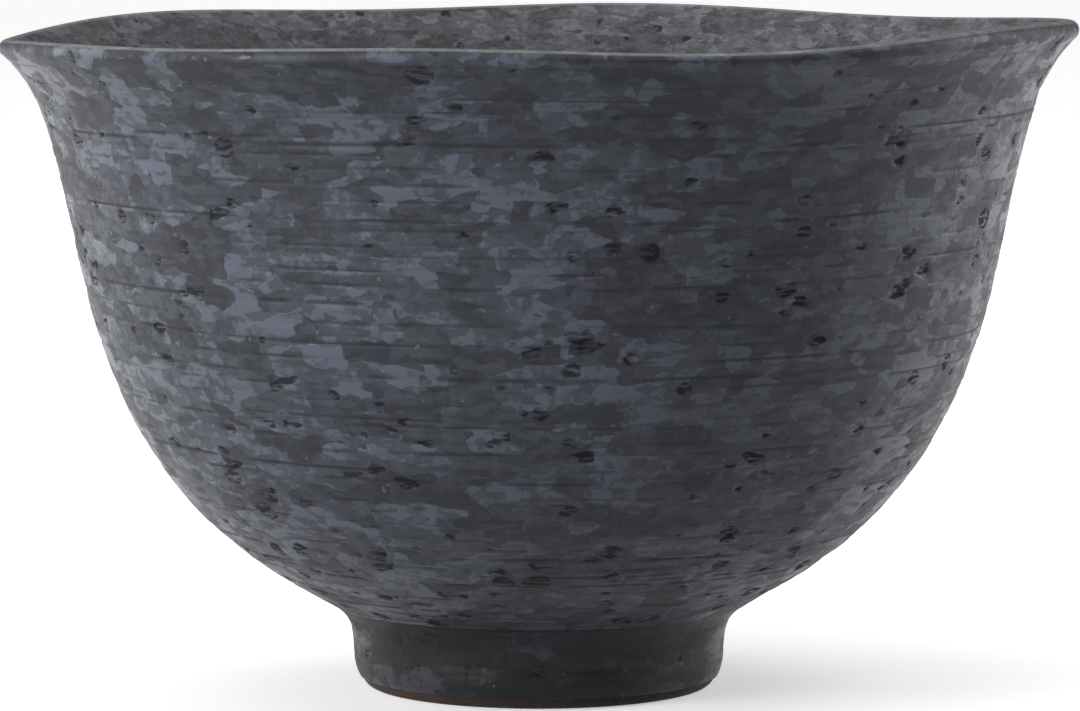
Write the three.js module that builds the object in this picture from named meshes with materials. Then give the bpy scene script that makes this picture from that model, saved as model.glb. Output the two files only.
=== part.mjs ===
import * as THREE from 'three';

// A wheel-thrown stoneware bowl. Millimetres, +Z up, standing on z = 0 with its axis on Z.
// Profiles are drawn as (radius, height) pairs and turned round the axis.

// The lip
const lipRadius = 80;
const lipHeight = 98.5;
const lipThickness = 2.8;
const lipFlare = 49;

// The outside of the wall, as it looks when glazed
const hipRadius = 68.5;
const hipHeight = 64.6;
const hipLean = 11.5;
const rootRadius = 30.7;
const rootHeight = 12.3;
const rootSlope = 33.5;

// The inside
const hipWall = 4.6;
const wellHeight = 17.5;

// The foot
const footHeight = 10.4;
const footWaistRadius = 27.7;
const footWaistHeight = 5;
const restOuterRadius = 24.6;
const restInnerRadius = 21;
const footWellRadius = 20.4;
const footEdge = 0.9;

// Coats and the joint
const glaze = 0.6;
const slip = 0.6;
const glazeLine = 1.6;

// Throwing rings on the outside
const ringPitch = 4.3;
const ringDepth = 0.26;

// The uneven lip: lobes round the rim, the rise of each, and where its first crest lies,
// in degrees from the front (-Y) towards the right (+X)
const lipLobes = [[1, 0.81, 89], [2, 0.36, 40], [3, 0.53, -41], [4, 0.36, -24], [5, 0.15, 11], [6, 0.31, -9]];
const waveStart = 58;

const turnSteps = 48;

const radians = THREE.MathUtils.degToRad;
const at = (r, z) => new THREE.Vector2(r, z);
const heading = (degrees) => at(Math.sin(radians(degrees)), Math.cos(radians(degrees)));
const along = (point, degrees, length) => point.clone().addScaledVector(heading(degrees), length);

// A smooth run between two points that leaves and arrives in the given directions,
// measured from straight up towards the outside
function sweep(start, leave, leaveReach, end, arrive, arriveReach) {
  return new THREE.CubicBezierCurve(start, along(start, leave, leaveReach), along(end, arrive, -arriveReach), end);
}

const lipCentre = at(lipRadius - lipThickness / 2, lipHeight - lipThickness / 2);
const lipAcross = heading(lipFlare + 90);
const clayLip = lipThickness / 2 - glaze;
const slipTop = footHeight + slip;

// The finished outside from the foot's root up to the lip
function outsideRuns() {
  const root = at(rootRadius, rootHeight);
  const hip = at(hipRadius, hipHeight);
  const lip = lipCentre.clone().addScaledVector(lipAcross, lipThickness / 2);
  return [
    sweep(root, 90 - rootSlope, 11, hip, hipLean, 40),
    sweep(hip, hipLean, 19.2, lip, lipFlare, 8),
  ];
}

// The finished inside from the lip down to the axis
function insideRuns() {
  const lip = lipCentre.clone().addScaledVector(lipAcross, -lipThickness / 2);
  const hip = at(hipRadius - hipWall, hipHeight);
  const bottom = at(0, wellHeight);
  return [
    sweep(lip, lipFlare + 180, 8, hip, hipLean + 180, 19),
    sweep(hip, hipLean + 180, 34, bottom, -90, 34),
  ];
}

// Points along joined runs, each moved sideways to the left of travel by shift(distance)
function trace(runs, spacing, shift) {
  const points = [];
  let before = 0;
  runs.forEach((run, index) => {
    const length = run.getLength();
    const count = Math.max(2, Math.round(length / spacing));
    for (let i = index ? 1 : 0; i <= count; i += 1) {
      const t = run.getTangentAt(i / count);
      const amount = shift(before + (length * i) / count, i + (index ? 1 : 0));
      points.push(run.getPointAt(i / count).add(at(-t.y, t.x).multiplyScalar(amount)));
    }
    before += length;
  });
  return points;
}

// Part of the lip's round edge, from one direction to another
function lipArc(radius, from, to, steps) {
  const points = [];
  for (let i = 0; i <= steps; i += 1) points.push(along(lipCentre, from + ((to - from) * i) / steps, radius));
  return points;
}

const lipTop = 0;
const lipOuter = lipFlare + 90;
const lipInner = lipFlare - 90;

// The side of the foot: hollow under the root, then a soft round edge to the rest
function footSide(inset) {
  const root = at(rootRadius - inset, rootHeight);
  const waist = at(footWaistRadius - inset, footWaistHeight);
  return sweep(root, 90 - rootSlope + 180, 3.2, waist, 181, 3.4);
}

function footEdgeCurve(inset) {
  const waist = at(footWaistRadius - inset, footWaistHeight);
  return new THREE.CubicBezierCurve(waist, at(waist.x - 0.1, 2.4), at(restOuterRadius + 1.9, 0), at(restOuterRadius, 0));
}

// The radius or point where a falling curve reaches a height
function atHeight(curve, height) {
  let low = 0;
  let high = 1;
  for (let i = 0; i < 50; i += 1) {
    const middle = (low + high) / 2;
    if (curve.getPoint(middle).y > height) low = middle;
    else high = middle;
  }
  return curve.getPoint(low).setY(height);
}

function between(curve, top, bottom, steps) {
  const points = [];
  for (let i = 0; i <= steps; i += 1) points.push(atHeight(curve, top + ((bottom - top) * i) / steps));
  return points;
}

// How far the lip rises or sinks at a direction, fading out down the wall
function wave(x, y, z) {
  const direction = Math.atan2(x, -y);
  const share = THREE.MathUtils.clamp((z - waveStart) / (lipHeight - waveStart), 0, 1);
  const rise = lipLobes.reduce((sum, [lobes, height, crest]) => (
    sum + height * Math.cos(lobes * (direction - radians(crest)))), 0);
  return rise * share * share;
}

// Splits each four-sided face from its lower corner to its upper one, so two pieces that share a
// warped surface share its triangles too
function splitFaces(profile) {
  const rows = profile.length;
  const faces = [];
  for (let i = 0; i < turnSteps; i += 1) {
    for (let j = 0; j < rows - 1; j += 1) {
      const [a, b, c, d] = [i * rows + j, (i + 1) * rows + j, (i + 1) * rows + j + 1, i * rows + j + 1];
      const fall = profile[j].y - profile[j + 1].y || profile[j].x - profile[j + 1].x;
      if (fall < 0) faces.push(a, b, c, a, c, d);
      else faces.push(a, b, d, c, d, b);
    }
  }
  return faces;
}

function turned(name, profile, material) {
  const geometry = new THREE.LatheGeometry(profile, turnSteps);
  geometry.rotateX(Math.PI / 2);
  const place = geometry.attributes.position;
  for (let i = 0; i < place.count; i += 1) {
    const x = place.getX(i);
    const y = place.getY(i);
    const z = place.getZ(i);
    place.setXYZ(i, x, y, z + wave(x, y, z));
  }
  geometry.setIndex(splitFaces(profile));
  geometry.computeVertexNormals();
  const mesh = new THREE.Mesh(geometry, material);
  mesh.name = name;
  return mesh;
}

const paint = (color, roughness) => new THREE.MeshStandardMaterial({ color, roughness, metalness: 0 });

// Surfaces shared by neighbouring pieces
const claySpacing = 8;
const clayOutside = trace(outsideRuns(), claySpacing, () => glaze).reverse();
const clayInside = trace(insideRuns(), claySpacing, () => glaze);
const clayFoot = footSide(glaze);
const clayEdge = footEdgeCurve(glaze);
const clayRootToSlip = between(clayFoot, rootHeight, slipTop, 2);
const claySlipEdge = between(clayFoot, slipTop, footHeight, 1);
const clayFootWall = between(clayFoot, footHeight, footWaistHeight, 4);
const clayFootGlazed = between(clayEdge, footWaistHeight, glazeLine, 2);
const clayLipOuter = lipArc(clayLip, lipTop, lipOuter, 3);
const clayLipInner = lipArc(clayLip, lipInner, lipTop, 2);

const reversed = (points) => [...points].reverse();

function stonewareBody() {
  const profile = [
    at(0, slipTop), ...reversed(clayRootToSlip).slice(0, -1), ...reversed(clayOutside).slice(0, -1),
    ...reversed(clayLipOuter), ...reversed(clayLipInner).slice(1, -1), ...clayInside,
  ];
  return turned('stoneware_body', profile, paint('#4a3d35', 0.85));
}

function lutingSlip() {
  const [top, bottom] = claySlipEdge;
  const profile = [at(footWellRadius, footHeight), bottom, top, at(footWellRadius, slipTop), at(footWellRadius, footHeight)];
  return turned('luting_slip', profile, paint('#5a4a40', 0.9));
}

// The cut foot: a ring whose bare rest is the only clay left showing
function footRing() {
  const bareEdge = between(clayEdge, glazeLine, 0, 3);
  const profile = [
    at(footWellRadius, footHeight), at(footWellRadius, glazeLine + glaze), at(footWellRadius, footEdge),
    at(restInnerRadius, 0), ...reversed(bareEdge), ...reversed(clayFootGlazed).slice(1),
    ...reversed(clayFootWall).slice(1), at(footWellRadius, footHeight),
  ];
  return turned('foot_ring', profile, paint('#3b2f28', 0.85));
}

// Outside coat from the middle of the lip to the glaze line on the foot
function outerGlaze() {
  const rings = trace(outsideRuns(), ringPitch / 2, (distance, step) => (step % 2 ? -ringDepth / 2 : ringDepth / 2));
  const skin = [
    ...lipArc(lipThickness / 2, lipTop, lipOuter, 4), ...reversed(rings).slice(1, -1),
    ...between(footSide(0), rootHeight, footWaistHeight, 6), ...between(footEdgeCurve(0), footWaistHeight, glazeLine, 2).slice(1),
  ];
  const clay = [
    ...clayLipOuter, ...clayOutside.slice(1), ...clayRootToSlip.slice(1), ...claySlipEdge.slice(1),
    ...clayFootWall.slice(1), ...clayFootGlazed.slice(1),
  ];
  return turned('outer_glaze', [...clay, ...reversed(skin), clay[0]], paint('#4c4e55', 0.42));
}

function innerGlaze() {
  const skin = [...lipArc(lipThickness / 2, lipTop, lipInner, 3), ...trace(insideRuns(), claySpacing, () => 0).slice(1)];
  const clay = [...reversed(clayLipInner), ...clayInside.slice(1)];
  return turned('inner_glaze', [...reversed(clay), ...skin], paint('#55575d', 0.45));
}

// Coat in the hollow of the foot, over the underside, the joint and the ring's inner wall
function footWellGlaze() {
  const profile = [
    at(0, slipTop - glaze), at(footWellRadius - glaze, slipTop - glaze),
    at(footWellRadius - glaze, glazeLine + 2 * glaze), at(footWellRadius, glazeLine + glaze),
    at(footWellRadius, footHeight), at(footWellRadius, slipTop), at(0, slipTop),
  ];
  return turned('foot_well_glaze', profile, paint('#4c4e55', 0.42));
}

const group = new THREE.Group();
group.name = 'bowl';
group.add(stonewareBody(), footRing(), lutingSlip(), outerGlaze(), innerGlaze(), footWellGlaze());

export default group;
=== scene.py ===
import math

import bpy
import numpy as np
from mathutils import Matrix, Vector

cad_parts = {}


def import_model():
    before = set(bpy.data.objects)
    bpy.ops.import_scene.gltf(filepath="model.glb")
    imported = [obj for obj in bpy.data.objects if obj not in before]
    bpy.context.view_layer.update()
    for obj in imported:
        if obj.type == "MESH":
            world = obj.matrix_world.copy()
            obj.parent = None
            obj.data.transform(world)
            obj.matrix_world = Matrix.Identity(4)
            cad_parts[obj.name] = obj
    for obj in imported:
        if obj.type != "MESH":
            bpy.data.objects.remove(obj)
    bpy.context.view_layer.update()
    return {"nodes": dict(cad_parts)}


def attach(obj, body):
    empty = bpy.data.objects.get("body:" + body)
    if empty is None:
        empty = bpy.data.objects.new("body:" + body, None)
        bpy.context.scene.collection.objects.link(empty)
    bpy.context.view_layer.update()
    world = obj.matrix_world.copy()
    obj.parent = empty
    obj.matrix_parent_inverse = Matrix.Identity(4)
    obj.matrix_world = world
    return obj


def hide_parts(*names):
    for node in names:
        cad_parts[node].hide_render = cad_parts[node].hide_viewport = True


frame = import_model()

# A wheel-thrown bowl with a dark mottled glaze, in the CAD frame. Profiles are in millimetres.
MM = 0.001
COLUMNS = 720
LIP_RADIUS, LIP_HEIGHT, LIP_THICKNESS, LIP_FLARE = 80.0, 98.5, 2.8, 49.0
HIP_RADIUS, HIP_HEIGHT, HIP_LEAN = 68.5, 64.6, 11.5
ROOT_RADIUS, ROOT_HEIGHT, ROOT_SLOPE = 30.7, 12.3, 33.5
HIP_WALL, WELL_HEIGHT = 4.6, 17.5
WAIST_RADIUS, WAIST_HEIGHT = 27.7, 5.0
REST_OUTER, REST_INNER, FOOT_WELL, FOOT_TOP = 24.6, 21.0, 20.4, 10.4
GLAZE, GLAZE_LINE = 0.6, 1.6
WAVE_START = 58.0
LOBES = [(1, 0.81, 89), (2, 0.36, 40), (3, 0.53, -41), (4, 0.36, -24), (5, 0.15, 11), (6, 0.31, -9)]


# ---- outlines, the same curves as the CAD source ----
def heading(degrees):
    return np.array([math.sin(math.radians(degrees)), math.cos(math.radians(degrees))])


def sweep(start, leave, leave_reach, end, arrive, arrive_reach):
    start, end = np.array(start, float), np.array(end, float)
    return start, start + heading(leave) * leave_reach, end - heading(arrive) * arrive_reach, end


def bezier(curve, t):
    a, b, c, d = curve
    t = t[:, None]
    return (1 - t) ** 3 * a + 3 * (1 - t) ** 2 * t * b + 3 * (1 - t) * t * t * c + t ** 3 * d


def trace(curves, spacing):
    """Evenly spaced points along joined curves."""
    fine = np.vstack([bezier(c, np.linspace(0, 1, 400)) for c in curves])
    step = np.hypot(*np.diff(fine, axis=0).T)
    fine, step = fine[np.r_[True, step > 1e-9]], step[step > 1e-9]
    run = np.r_[0, np.cumsum(step)]
    at = np.linspace(0, run[-1], int(run[-1] / spacing) + 2)
    return np.stack([np.interp(at, run, fine[:, k]) for k in (0, 1)], 1)


def inset(points, amount):
    """Moves an open line to the left of its travel."""
    way = np.gradient(points, axis=0)
    way /= np.hypot(*way.T)[:, None]
    return points + amount * np.stack([-way[:, 1], way[:, 0]], 1)


LIP_CENTRE = np.array([LIP_RADIUS - LIP_THICKNESS / 2, LIP_HEIGHT - LIP_THICKNESS / 2])


def lip_arc(radius, start, end, steps):
    return np.array([LIP_CENTRE + radius * heading(a) for a in np.linspace(start, end, steps)])


LIP_OUTER = LIP_CENTRE + LIP_THICKNESS / 2 * heading(LIP_FLARE + 90)
LIP_INNER = LIP_CENTRE - LIP_THICKNESS / 2 * heading(LIP_FLARE + 90)
OUTSIDE = [
    sweep((ROOT_RADIUS, ROOT_HEIGHT), 90 - ROOT_SLOPE, 11, (HIP_RADIUS, HIP_HEIGHT), HIP_LEAN, 40),
    sweep((HIP_RADIUS, HIP_HEIGHT), HIP_LEAN, 19.2, LIP_OUTER, LIP_FLARE, 8),
]
INSIDE = [
    sweep(LIP_INNER, LIP_FLARE + 180, 8, (HIP_RADIUS - HIP_WALL, HIP_HEIGHT), HIP_LEAN + 180, 19),
    sweep((HIP_RADIUS - HIP_WALL, HIP_HEIGHT), HIP_LEAN + 180, 34, (0, WELL_HEIGHT), -90, 34),
]


def foot_side(back):
    return sweep((ROOT_RADIUS - back, ROOT_HEIGHT), 270 - ROOT_SLOPE, 3.2, (WAIST_RADIUS - back, WAIST_HEIGHT), 181, 3.4)


def foot_edge(back):
    waist = WAIST_RADIUS - back
    return tuple(np.array(p, float) for p in ((waist, WAIST_HEIGHT), (waist - 0.1, 2.4), (REST_OUTER + 1.9, 0), (REST_OUTER, 0)))


# ---- meshes turned round the axis ----
def grid_noise(seed, theta, run, theta_cells, run_size):
    """Smooth random waves, joined round the axis, between -1 and 1."""
    random = np.random.default_rng(seed)
    rows = int(run.max() / run_size) + 4
    values = random.uniform(-1, 1, (theta_cells, rows))
    u, v = theta / (2 * math.pi) % 1 * theta_cells, run / run_size + 1
    i, j = np.floor(u).astype(int), np.floor(v).astype(int)
    fu, fv = u - i, v - j
    fu, fv = fu * fu * (3 - 2 * fu), fv * fv * (3 - 2 * fv)
    a, b = values[i % theta_cells, j], values[(i + 1) % theta_cells, j]
    c, d = values[i % theta_cells, j + 1], values[(i + 1) % theta_cells, j + 1]
    return (a * (1 - fu) + b * fu) * (1 - fv) + (c * (1 - fu) + d * fu) * fv


def lip_wave(theta, z):
    share = np.clip((z - WAVE_START) / (LIP_HEIGHT - WAVE_START), 0, 1) ** 2
    rise = sum(h * np.cos(n * (theta - math.radians(crest))) for n, h, crest in LOBES)
    return rise * share


def turned(name, profile, relief, materials, piece_of, grooved=False, columns=COLUMNS):
    """A closed profile turned round the axis. relief(theta, run) moves the surface outwards, in mm.
    profile rows are (r, z, how much relief, material); a row at r = 0 closes on the axis."""
    flat = np.array([p[:2] for p in profile], float)
    weight = np.array([p[2] for p in profile], float)
    ahead, behind = np.roll(flat, -1, 0), np.roll(flat, 1, 0)
    way = ahead - behind
    way /= np.maximum(np.hypot(*way.T), 1e-9)[:, None]
    out = np.stack([way[:, 1], -way[:, 0]], 1)
    run = np.r_[0, np.cumsum(np.hypot(*np.diff(flat, axis=0).T))]
    theta = np.arange(columns) / columns * 2 * math.pi
    tt, rr = np.meshgrid(theta, run, indexing="ij")
    push = relief(tt, rr) * weight[None, :]
    # groove depth mask: it cuts the grooves and also becomes painted shade in the glaze colour
    dark = groove_lines(tt, rr) * weight[None, :] if grooved else np.zeros_like(rr)
    burst = bursts(theta, run, flat[:, 0]) * weight[None, :] if grooved else np.zeros_like(rr)
    push = push - GROOVE_DEPTH * dark - BURST_DEPTH * burst
    radius = flat[None, :, 0] + push * out[None, :, 0]
    height = flat[None, :, 1] + push * out[None, :, 1]
    height = height + lip_wave(tt, np.broadcast_to(flat[None, :, 1], tt.shape))
    radius[:, flat[:, 0] < 1e-6] = 0
    verts, faces, marks, index, shade, holes = [], [], [], [], [], []
    for j in range(len(profile)):
        if flat[j, 0] < 1e-6:
            index.append(np.full(columns, len(verts)))
            verts.append((0, 0, height[0, j] * MM))
            shade.append(0.0)
            holes.append(0.0)
        else:
            index.append(np.arange(columns) + len(verts))
            verts.extend(np.stack([radius[:, j] * np.sin(theta), -radius[:, j] * np.cos(theta), height[:, j]], 1) * MM)
            shade.extend(dark[:, j])
            holes.extend(burst[:, j])
    count = len(profile)
    for j in range(count):
        k = (j + 1) % count
        if flat[j, 0] < 1e-6 and flat[k, 0] < 1e-6:
            continue
        a, d = index[j], index[k]
        b, c = np.roll(a, -1), np.roll(d, -1)
        for quad in zip(a.tolist(), b.tolist(), c.tolist(), d.tolist()):
            face = tuple(dict.fromkeys(quad))
            faces.append(face)
            marks.append(profile[j][3])
    mesh = bpy.data.meshes.new(name)
    mesh.from_pydata([tuple(v) for v in verts], [], faces)
    mesh.update()
    for m in materials:
        mesh.materials.append(m)
    mesh.polygons.foreach_set("material_index", marks)
    mesh.polygons.foreach_set("use_smooth", [True] * len(faces))
    # the groove mask goes to the glaze shader as painted shade; the burst mask marks the burst pits
    for title, values in (("groove_and_shade", shade), ("burst", holes)):
        mesh.attributes.new(title, "FLOAT", "POINT").data.foreach_set("value", values)
    obj = bpy.data.objects.new(name, mesh)
    bpy.context.scene.collection.objects.link(obj)
    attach(obj, "root")
    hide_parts(*piece_of)
    return obj


# ---- node helpers ----
def srgb(r, g, b):
    return tuple(((c / 255 + 0.055) / 1.055) ** 2.4 if c > 10 else c / 255 / 12.92 for c in (r, g, b)) + (1.0,)


class Nodes:
    def __init__(self, name):
        self.material = bpy.data.materials.new(name)
        self.material.use_nodes = True
        self.tree = self.material.node_tree
        self.shader = self.tree.nodes["Principled BSDF"]

    def put(self, socket, value):
        if hasattr(value, "links") or isinstance(value, bpy.types.NodeSocket):
            self.tree.links.new(value, socket)
        else:
            socket.default_value = value

    def add(self, kind, inputs=(), out=0, **settings):
        node = self.tree.nodes.new(kind)
        for key, value in settings.items():
            setattr(node, key, value)
        for key, value in dict(inputs).items():
            self.put(node.inputs[key], value)
        return node.outputs[out]

    def math(self, operation, a, b=0.0, clamp=False):
        return self.add("ShaderNodeMath", {0: a, 1: b}, operation=operation, use_clamp=clamp)

    def vector(self, operation, a, b):
        return self.add("ShaderNodeVectorMath", {0: a, 1: b}, operation=operation)

    def noise(self, vector, size, detail=2.0, out=0, rough=0.5):
        return self.add("ShaderNodeTexNoise", {"Vector": vector, "Scale": 1 / size, "Detail": detail, "Roughness": rough}, out=out)

    def cells(self, vector, size, out, metric="EUCLIDEAN"):
        return self.add("ShaderNodeTexVoronoi", {"Vector": vector, "Scale": 1 / size}, out=out, distance=metric)

    def first(self, color, channel=0):
        return self.add("ShaderNodeSeparateColor", {0: color}, out=channel)

    def fit(self, value, low, high, to_low=0.0, to_high=1.0, smooth=True):
        kind = "SMOOTHSTEP" if smooth else "LINEAR"
        inputs = {0: value, 1: low, 2: high, 3: to_low, 4: to_high}
        return self.add("ShaderNodeMapRange", inputs, interpolation_type=kind)

    def mix(self, amount, a, b, blend="MIX"):
        node = self.tree.nodes.new("ShaderNodeMix")
        node.data_type, node.blend_type = "RGBA", blend
        self.put(node.inputs[0], amount)
        self.put(node.inputs[6], a)
        self.put(node.inputs[7], b)
        return node.outputs[2]

    def ramp(self, value, stops, hard=False):
        node = self.tree.nodes.new("ShaderNodeValToRGB")
        node.color_ramp.interpolation = "CONSTANT" if hard else "LINEAR"
        while len(node.color_ramp.elements) < len(stops):
            node.color_ramp.elements.new(0.5)
        for element, (place, color) in zip(node.color_ramp.elements, stops):
            element.position, element.color = place, color
        self.put(node.inputs[0], value)
        return node.outputs[0]


def glaze_material(name, tones, flake, spots, contrast, pale=0.0, rough=(0.36, 0.56)):
    """Charcoal glaze: angular lighter flakes lying in rings, dark burst pits and pale specks."""
    n = Nodes(name)
    place = n.vector("MULTIPLY", n.add("ShaderNodeTexCoord", out=3), (1000, 1000, 1000))
    wobble = n.vector("SUBTRACT", n.noise(place, 3.2, 3, out=1), (0.5, 0.5, 0.5))
    bent = n.vector("ADD", place, n.vector("MULTIPLY", wobble, (2.6, 2.6, 0.9)))
    laid = n.vector("MULTIPLY", bent, (1, 1, 2.1))
    big = n.first(n.cells(laid, 5.4 * flake, 1, "CHEBYCHEV"))
    small = n.first(n.cells(laid, 2.1 * flake, 1, "MANHATTAN"), 1)
    tiny = n.first(n.cells(bent, 0.8 * flake, 1), 2)
    drift = n.noise(place, 14, 3)
    value = n.math("ADD", n.math("MULTIPLY", big, 0.44), n.math("MULTIPLY", small, 0.27))
    value = n.math("ADD", value, n.math("MULTIPLY", tiny, 0.1))
    value = n.math("ADD", value, n.math("MULTIPLY", n.math("SUBTRACT", drift, 0.5), 0.3))
    value = n.math("ADD", n.math("MULTIPLY", n.math("SUBTRACT", value, 0.42), contrast), 0.42)
    color = n.ramp(value, [(0.14, srgb(*tones[0])), (0.34, srgb(*tones[1])), (0.53, srgb(*tones[2])), (0.60, srgb(*tones[3]))])
    tint = n.ramp(n.noise(place, 22, 2), [(0.36, (0.95, 1, 0.94, 1)), (0.5, (1, 1, 1, 1)), (0.64, (1.03, 0.98, 1.03, 1))])
    color = n.mix(0.8, color, tint, "MULTIPLY")
    # turning lines: narrow rings of painted shade, also pressed in as bump grooves, that break up round the wall
    ring_place = n.vector("ADD", n.vector("MULTIPLY", place, (0.05, 0.05, 1)), n.vector("MULTIPLY", wobble, (0, 0, 0.5)))
    line_groove_and_shade = n.fit(n.noise(ring_place, 1.3, 2), 0.54, 0.70)
    line_groove_and_shade = n.math("MULTIPLY", line_groove_and_shade, n.fit(n.noise(place, 9, 2), 0.38, 0.62))
    groove_and_shade = n.add("ShaderNodeAttribute", out="Fac", attribute_name="groove_and_shade")
    color = n.mix(n.math("MULTIPLY", line_groove_and_shade, 0.25), color, srgb(24, 24, 28))
    # painted shade in the turned grooves of the mesh, darker where the grooves are deeper
    color = n.mix(n.fit(groove_and_shade, 0.03, 0.6, 0.0, 0.62), color, srgb(22, 22, 26))
    burst = n.add("ShaderNodeAttribute", out="Fac", attribute_name="burst")
    burst = n.fit(n.math("ADD", burst, n.math("MULTIPLY", n.math("SUBTRACT", n.noise(place, 0.5, 2), 0.5), 0.8)), 0.15, 0.6)
    stripe = n.fit(n.noise(n.vector("MULTIPLY", bent, (0.22, 0.22, 1)), 0.5, 2), 0.38, 0.58, 0.3, 1.0)
    burst = n.math("MULTIPLY", burst, stripe)
    color = n.mix(n.math("MULTIPLY", burst, 0.8), color, srgb(18, 17, 21))
    # burst pits
    spot_place = n.vector("MULTIPLY", bent, (1, 1, 1.25))
    distance = n.cells(spot_place, spots[0], 0)
    chance = n.first(n.cells(spot_place, spots[0], 1))
    crowd = n.fit(n.noise(place, 20, 1), 0.40, 0.62, 0.35, 1.0)
    reach = n.math("MULTIPLY", n.fit(chance, 0.3, 1.0, 0.0, spots[1]), crowd)
    pit = n.fit(n.math("SUBTRACT", distance, reach), -0.05, 0.03, 1.0, 0.0)
    pit = n.math("MULTIPLY", pit, stripe)
    color = n.mix(n.math("MULTIPLY", pit, 0.72), color, srgb(20, 19, 23))
    # pale specks
    speck_distance = n.cells(bent, 1.9, 0)
    speck_chance = n.first(n.cells(bent, 1.9, 1), 2)
    speck = n.fit(n.math("SUBTRACT", speck_distance, n.fit(speck_chance, 0.78, 1.0, 0.0, 0.2)), -0.05, 0.02, 1.0, 0.0)
    color = n.mix(n.math("MULTIPLY", speck, 0.3), color, srgb(150, 152, 158))
    color = n.mix(pale, color, srgb(150, 148, 146))
    n.put(n.shader.inputs["Base Color"], color)
    gloss = n.fit(n.math("ADD", value, n.math("MULTIPLY", n.noise(place, 1.1, 2), 0.3)), 0.3, 0.9, rough[1], rough[0])
    matt = n.math("MAXIMUM", n.math("MAXIMUM", burst, pit), n.fit(groove_and_shade, 0.1, 0.7, 0.0, 0.72))
    n.put(n.shader.inputs["Roughness"], n.math("MAXIMUM", gloss, n.math("MULTIPLY", matt, 0.92)))
    height = n.math("ADD", n.math("MULTIPLY", value, 0.5), n.math("MULTIPLY", n.noise(place, 0.7, 2), 0.35))
    height = n.math("SUBTRACT", height, n.math("MULTIPLY", pit, 0.9))
    height = n.math("SUBTRACT", height, n.math("MULTIPLY", line_groove_and_shade, 0.3))
    n.put(n.shader.inputs["Normal"], n.add("ShaderNodeBump", {"Strength": 0.55, "Distance": 0.00022, "Height": height}))
    n.shader.inputs["Specular IOR Level"].default_value = 0.3
    return n.material


def clay_material(name, dark, light):
    n = Nodes(name)
    place = n.vector("MULTIPLY", n.add("ShaderNodeTexCoord", out=3), (1000, 1000, 1000))
    grain = n.noise(place, 0.9, 5, rough=0.65)
    cloud = n.noise(place, 7, 3)
    value = n.math("ADD", n.math("MULTIPLY", grain, 0.6), n.math("MULTIPLY", cloud, 0.4))
    n.put(n.shader.inputs["Base Color"], n.ramp(value, [(0.35, srgb(*dark)), (0.65, srgb(*light))]))
    n.put(n.shader.inputs["Roughness"], n.fit(grain, 0.3, 0.7, 0.78, 0.95))
    n.put(n.shader.inputs["Normal"], n.add("ShaderNodeBump", {"Strength": 0.6, "Distance": 0.0002, "Height": grain}))
    return n.material


outer_mat = glaze_material("glaze_outside", [(46, 48, 55), (64, 67, 76), (76, 80, 91), (98, 104, 118)], 1.12, (5.4, 0.42), 1.1)
# the foot glaze is the outside glaze made much darker: painted shade under the bowl's overhang
foot_glaze_painted_shade = glaze_material("glaze_foot_painted_shade", [(10, 11, 13), (15, 16, 19), (24, 26, 31), (54, 57, 65)], 1.5, (8.0, 0.16), 0.8)
inner_mat = glaze_material("glaze_inside", [(64, 64, 68), (84, 85, 90), (97, 98, 104), (114, 116, 122)], 0.5, (2.4, 0.36), 0.9)
lip_mat = glaze_material("glaze_lip", [(60, 60, 63), (84, 84, 88), (104, 104, 108), (128, 128, 132)], 0.5, (4.0, 0.1), 0.8, pale=0.35)
clay_mat = clay_material("bare_clay", (30, 22, 18), (70, 54, 44))
slip_mat = clay_material("fired_slip", (60, 46, 38), (98, 78, 64))


# ---- relief ----
GROOVE_DEPTH = 0.2
BURST_DEPTH = 0.22
BURSTS = 1400


def bursts(theta, run, radius):
    """Flat-lying burst pits, in loose clusters, from 0 to 1."""
    random = np.random.default_rng(47)
    mask = np.zeros((len(theta), len(run)))
    turn = theta[1]
    for _ in range(BURSTS):
        way, place, luck, size = random.uniform(0, 2 * math.pi), random.uniform(4, run[-1] - 4), random.uniform(), random.uniform()
        bend, cut = random.uniform(0, 2 * math.pi), random.uniform(-0.35, 0.35)
        crowd = grid_noise(48, np.array([way]), np.array([place]), 16, 16)[0]
        if luck > 0.72 + 0.8 * crowd:
            continue
        wide = 0.5 + 1.5 * size ** 2.0
        tall = wide * (0.42 + 0.3 * luck) + 0.12
        low, high = np.searchsorted(run, [place - tall * 1.5, place + tall * 1.5])
        r = max(radius[min(low, len(radius) - 1)], 20.0)
        reach = int(wide * 1.5 / (r * turn)) + 2
        columns = (int(way / turn) + np.arange(-reach, reach + 1)) % len(theta)
        across = (np.arange(-reach, reach + 1) * turn * r / wide)[:, None]
        up = ((run[low:high] - place) / tall)[None, :]
        round_ = np.hypot(across + cut * up, up) * (1 + 0.22 * np.sin(3 * np.arctan2(up, across) + bend))
        patch = np.clip((1.05 - round_) / 0.3, 0, 1)
        mask[columns[:, None], np.arange(low, high)[None, :]] = np.maximum(mask[columns[:, None], np.arange(low, high)[None, :]], patch)
    return mask




def groove_lines(theta, run):
    """Narrow turning grooves at uneven heights, each fading in and out round the wall, from 0 to 1."""
    random = np.random.default_rng(31)
    way, still = theta[:, :1], np.zeros_like(theta[:, :1])
    mask, place, count = np.zeros_like(run), 0.8, 0
    while place < run.max():
        seed = 100 + 5 * count
        centre = place + 0.3 * np.sin(way + 0.4 + 0.02 * place) + 0.22 * grid_noise(seed, way, still, 12, 9)
        strength = 0.42 + 0.65 * grid_noise(seed + 1, way, still, 26, 9) + 0.85 * grid_noise(seed + 2, way, still, 110, 9)
        strength = random.uniform(0.5, 1.0) * np.clip(strength, 0, 1)
        width = random.uniform(0.17, 0.34)
        mask = np.maximum(mask, strength * np.exp(-(((run - centre) / width) ** 2)))
        place += random.uniform(1.1, 2.9)
        count += 1
    return mask


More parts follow.
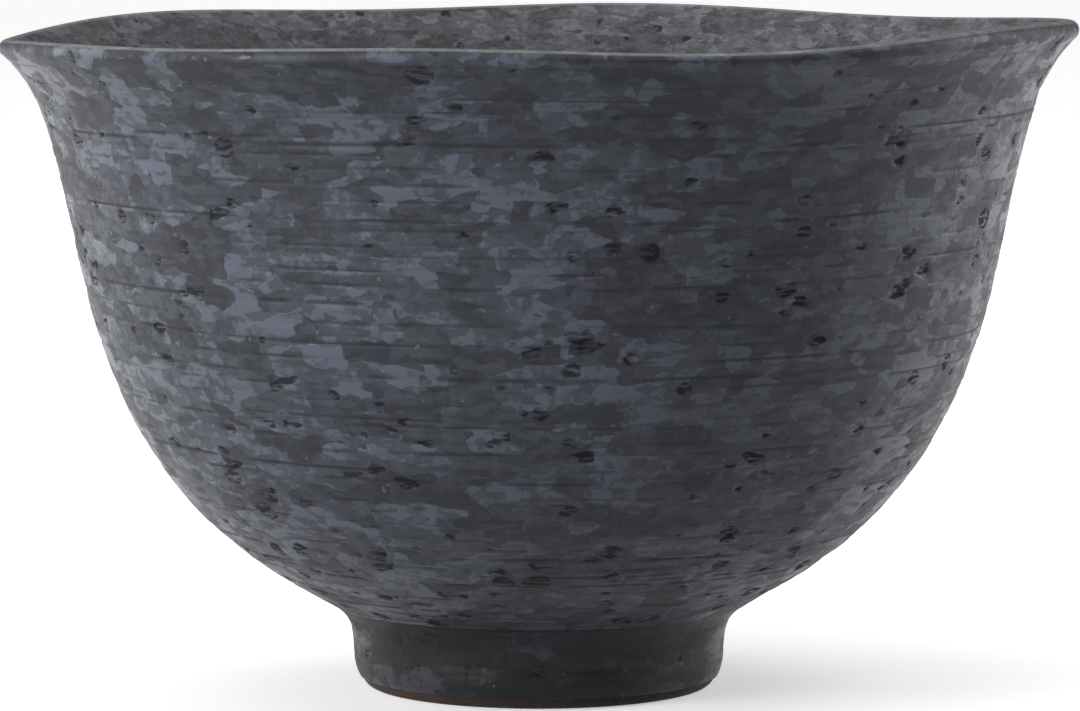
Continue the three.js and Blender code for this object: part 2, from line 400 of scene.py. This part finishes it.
def outer_relief(theta, run):
    bent = run + 0.5 * np.sin(theta + 0.9) + 0.3 * np.sin(2 * theta + 2.1) + 0.35 * grid_noise(5, theta, run, 14, 9)
    rings = 0.055 * grid_noise(11, theta, bent, 5, 2.1) + 0.075 * grid_noise(12, theta, bent, 4, 4.3)
    fine = 0.022 * grid_noise(13, theta, bent, 16, 1.05)
    grooves = -0.10 * np.clip(grid_noise(14, theta, bent, 5, 2.6) - 0.35, 0, 1) / 0.65
    pits = -0.05 * np.clip(grid_noise(15, theta, run, 150, 1.8) - 0.45, 0, 1) / 0.55
    return rings + fine + grooves + pits


def inner_relief(theta, run):
    rings = 0.03 * grid_noise(21, theta, run, 5, 3.2) + 0.04 * grid_noise(22, theta, run, 6, 7.0)
    pits = -0.05 * np.clip(grid_noise(23, theta, run, 260, 1.0) - 0.4, 0, 1) / 0.6
    return rings + pits


def rows(points, weight, mark):
    return [(float(r), float(z), weight, mark) for r, z in points]


def build_outer():
    """Rows run up the hidden clay face, over the lip and back down the glazed side."""
    wall = trace(OUTSIDE, 0.27)[::-1]
    side = trace([foot_side(0)], 0.34)
    edge = trace([foot_edge(0)], 0.25)
    edge = edge[edge[:, 1] > GLAZE_LINE]
    skin = rows(lip_arc(LIP_THICKNESS / 2, 0, 42, 6), 0.3, 1)
    skin += rows(lip_arc(LIP_THICKNESS / 2, 52, LIP_FLARE + 90, 10), 0.6, 0)
    skin += rows(wall[1:-1], 1.0, 0) + rows(side, 0.5, 2) + rows(edge[1:], 0.3, 2)
    clay_edge = trace([foot_edge(GLAZE)], 0.25)
    clay_edge = clay_edge[clay_edge[:, 1] > GLAZE_LINE][::-1]
    back = rows(clay_edge[::3], 0, 2) + rows(trace([foot_side(GLAZE)], 2.0)[::-1][1:-1], 0, 2)
    back += rows(inset(trace(OUTSIDE, 3.0), GLAZE)[:-1], 0, 0)
    back += rows(lip_arc(LIP_THICKNESS / 2 - GLAZE, LIP_FLARE + 90, 0, 8), 0, 0)
    profile = (skin + back)[::-1]
    return turned("outer_glaze_skin", profile, outer_relief, [outer_mat, lip_mat, foot_glaze_painted_shade], ["outer_glaze"], grooved=True)


def build_inner():
    wall = trace(INSIDE, 0.7)
    clay = inset(trace(INSIDE, 3.0), GLAZE)
    clay[-1, 0] = 0
    skin = rows(lip_arc(LIP_THICKNESS / 2, 0, -30, 6), 0.3, 1)
    skin += rows(lip_arc(LIP_THICKNESS / 2, -36, LIP_FLARE - 90, 3), 0.6, 0) + rows(wall[1:], 1.0, 0)
    back = rows(clay[::-1], 0, 0) + rows(lip_arc(LIP_THICKNESS / 2 - GLAZE, LIP_FLARE - 90, 0, 8)[1:], 0, 0)
    return turned("inner_glaze_skin", back[:] + skin, inner_relief, [inner_mat, lip_mat], ["inner_glaze"], columns=480)


def build_foot():
    edge = trace([foot_edge(GLAZE)], 0.3)
    side = trace([foot_side(GLAZE)], 0.6)
    side = side[side[:, 1] < FOOT_TOP]
    profile = rows([(FOOT_WELL, FOOT_TOP), (FOOT_WELL, 2.2), (FOOT_WELL, 0.9), (REST_INNER, 0)], 0, 0)
    profile += rows(edge[::-1], 0.0, 0) + rows(side[::-1][1:], 0, 0)
    return turned("foot_ring_clay", profile, lambda t, s: 0 * t, [clay_mat], ["foot_ring"])


build_outer()
build_inner()
build_foot()
# the foot well takes the darker foot glaze, painted shade under the bowl
for node, material in (("stoneware_body", clay_mat), ("luting_slip", slip_mat), ("foot_well_glaze", foot_glaze_painted_shade)):
    obj = frame["nodes"][node]
    obj.data.materials.clear()
    obj.data.materials.append(material)


# ---- stage, light and camera ----
def floor():
    size = 9.0
    mesh = bpy.data.meshes.new("floor")
    mesh.from_pydata([(-size, -size, 0), (size, -size, 0), (size, size, 0), (-size, size, 0)], [], [(0, 1, 2, 3)])
    n = Nodes("floor_paper")
    path = n.tree.nodes.new("ShaderNodeLightPath")
    seen = n.math("ADD", path.outputs["Is Camera Ray"], path.outputs["Is Glossy Ray"])
    seen = n.math("ADD", seen, path.outputs["Is Transmission Ray"], clamp=True)
    n.put(n.shader.inputs["Base Color"], n.mix(seen, (0.12, 0.12, 0.12, 1), (0.95, 0.95, 0.95, 1)))
    n.shader.inputs["Emission Color"].default_value = (1, 1, 1, 1)
    n.put(n.shader.inputs["Emission Strength"], n.math("MULTIPLY", seen, 0.42))
    n.shader.inputs["Roughness"].default_value = 0.9
    n.shader.inputs["Specular IOR Level"].default_value = 0.0
    mesh.materials.append(n.material)
    obj = bpy.data.objects.new("floor", mesh)
    bpy.context.scene.collection.objects.link(obj)


def softbox(name, place, target, size, power):
    data = bpy.data.lights.new(name, "AREA")
    data.shape, data.size, data.size_y, data.energy = "RECTANGLE", size[0], size[1], power
    obj = bpy.data.objects.new(name, data)
    obj.location = place
    obj.rotation_euler = (Vector(target) - Vector(place)).to_track_quat("-Z", "Y").to_euler()
    bpy.context.scene.collection.objects.link(obj)


def overhead(strength, spread):
    data = bpy.data.lights.new("overhead", "SUN")
    data.energy, data.angle = strength, math.radians(spread)
    obj = bpy.data.objects.new("overhead", data)
    obj.rotation_euler = (math.radians(-12), 0, 0)
    bpy.context.scene.collection.objects.link(obj)


def world(strength):
    w = bpy.data.worlds.new("studio")
    bpy.context.scene.world = w
    w.use_nodes = True
    back = w.node_tree.nodes["Background"]
    back.inputs[0].default_value = (1, 1, 1, 1)
    back.inputs[1].default_value = strength


def camera():
    distance, height, aim, side = 0.867, 0.1344, 0.0494, 0.00018
    data = bpy.data.cameras.new("camera")
    data.lens = 194.37
    data.clip_end = 50
    obj = bpy.data.objects.new("camera", data)
    obj.location = (side, -distance, height)
    obj.rotation_euler = (math.pi / 2 - math.atan2(height - aim, distance), 0, 0)
    bpy.context.scene.collection.objects.link(obj)
    bpy.context.scene.camera = obj


floor()
softbox("left_box", (-1.0, -0.72, 0.42), (0, 0, 0.06), (0.6, 0.9), 14.5)
softbox("right_box", (1.0, 0.35, 0.35), (0, 0, 0.06), (0.45, 0.9), 6.5)
softbox("left_edge_box", (-0.9, 0.5, 0.3), (0, 0, 0.06), (0.4, 0.9), 4.0)
overhead(1.5, 80)
world(0.08)
camera()
bpy.context.scene.view_settings.view_transform = "Standard"
